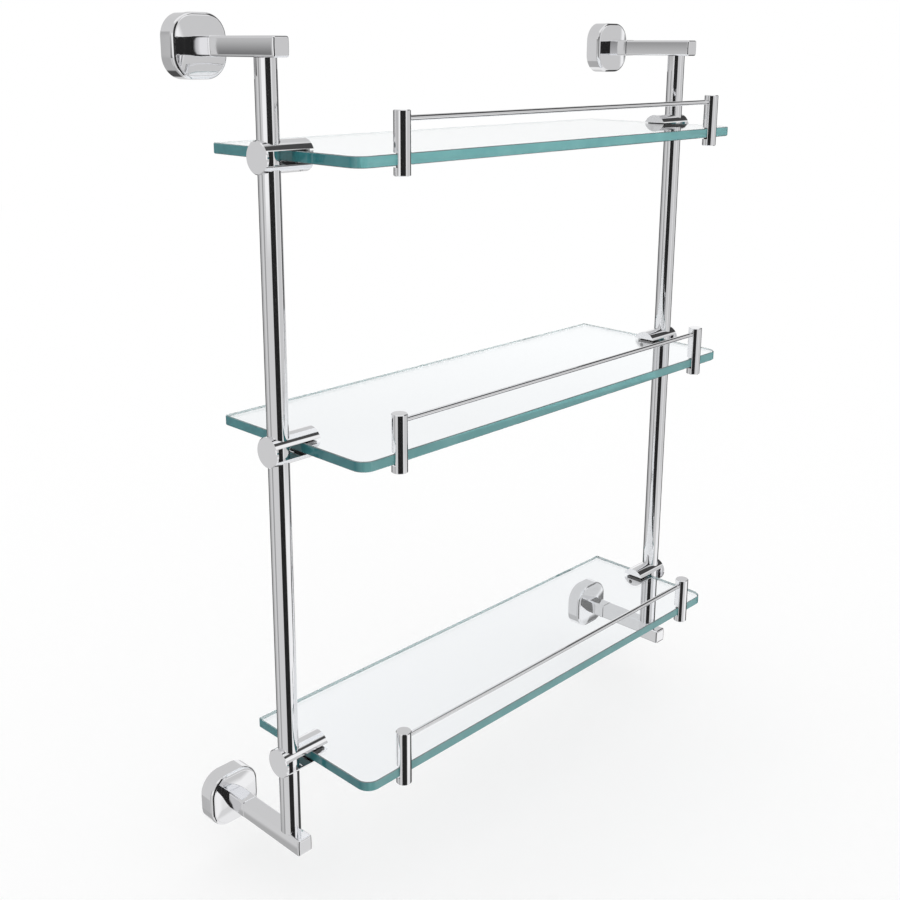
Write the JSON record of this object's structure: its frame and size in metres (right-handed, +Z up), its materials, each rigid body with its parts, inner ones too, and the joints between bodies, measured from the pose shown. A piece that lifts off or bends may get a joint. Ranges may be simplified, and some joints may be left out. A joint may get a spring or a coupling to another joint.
{
  "type": "glass bathroom shelf",
  "caption": "Wall-mounted glass bathroom shelf: chromed posts on square-armed wall brackets carry clamped glass panes that slide to height, each with a low gallery rail.",
  "frame": {"origin": "on the wall plane, in the middle of the rectangle of wall screws", "axes": "+X to the right along the wall, +Y into the wall, +Z up"},
  "size_m": [0.526, 0.167, 0.646],
  "materials": {
    "chrome": "polished chrome plate",
    "glass": "clear float glass, polished edges with a green-blue tint",
    "zinc_steel": "zinc plated",
    "brass": "turned, bare",
    "pad": "black, matt"
  },
  "bodies": {
    "wall_frame": {"wall_plate_upper_left": "zinc_steel", "flange_upper_left": "chrome", "arm_upper_left": "chrome", "wall_plate_upper_right": "zinc_steel", "flange_upper_right": "chrome", "arm_upper_right": "chrome", "wall_plate_lower_left": "zinc_steel", "flange_lower_left": "chrome", "arm_lower_left": "chrome", "wall_plate_lower_right": "zinc_steel", "flange_lower_right": "chrome", "arm_lower_right": "chrome", "post_left": "chrome", "post_right": "chrome", "flange_set_screws": "zinc_steel", "arm_bolts": "zinc_steel", "post_plugs": "brass", "post_screws": "zinc_steel"},
    "upper_shelf": {"upper_glass": "glass", "upper_clamp_left": "chrome", "upper_peg_left": "chrome", "upper_clamp_right": "chrome", "upper_peg_right": "chrome", "upper_rail": "chrome", "upper_lock_screws": "zinc_steel", "upper_nip_screws": "zinc_steel", "upper_peg_screws": "zinc_steel", "upper_clamp_pads": "pad", "upper_peg_pads": "pad"},
    "middle_shelf": {"middle_glass": "glass", "middle_clamp_left": "chrome", "middle_peg_left": "chrome", "middle_clamp_right": "chrome", "middle_peg_right": "chrome", "middle_rail": "chrome", "middle_lock_screws": "zinc_steel", "middle_nip_screws": "zinc_steel", "middle_peg_screws": "zinc_steel", "middle_clamp_pads": "pad", "middle_peg_pads": "pad"},
    "lower_shelf": {"lower_glass": "glass", "lower_clamp_left": "chrome", "lower_peg_left": "chrome", "lower_clamp_right": "chrome", "lower_peg_right": "chrome", "lower_rail": "chrome", "lower_lock_screws": "zinc_steel", "lower_nip_screws": "zinc_steel", "lower_peg_screws": "zinc_steel", "lower_clamp_pads": "pad", "lower_peg_pads": "pad"}
  },
  "joints": [
    {"name": "upper_shelf_height", "type": "slide", "parent": "wall_frame", "child": "upper_shelf", "axis": [0, 0, 1], "range_m": [-0.08, 0.035]},
    {"name": "middle_shelf_height", "type": "slide", "parent": "wall_frame", "child": "middle_shelf", "axis": [0, 0, 1], "range_m": [-0.1, 0.08]},
    {"name": "lower_shelf_height", "type": "slide", "parent": "wall_frame", "child": "lower_shelf", "axis": [0, 0, 1], "range_m": [-0.045, 0.1]}
  ]
}
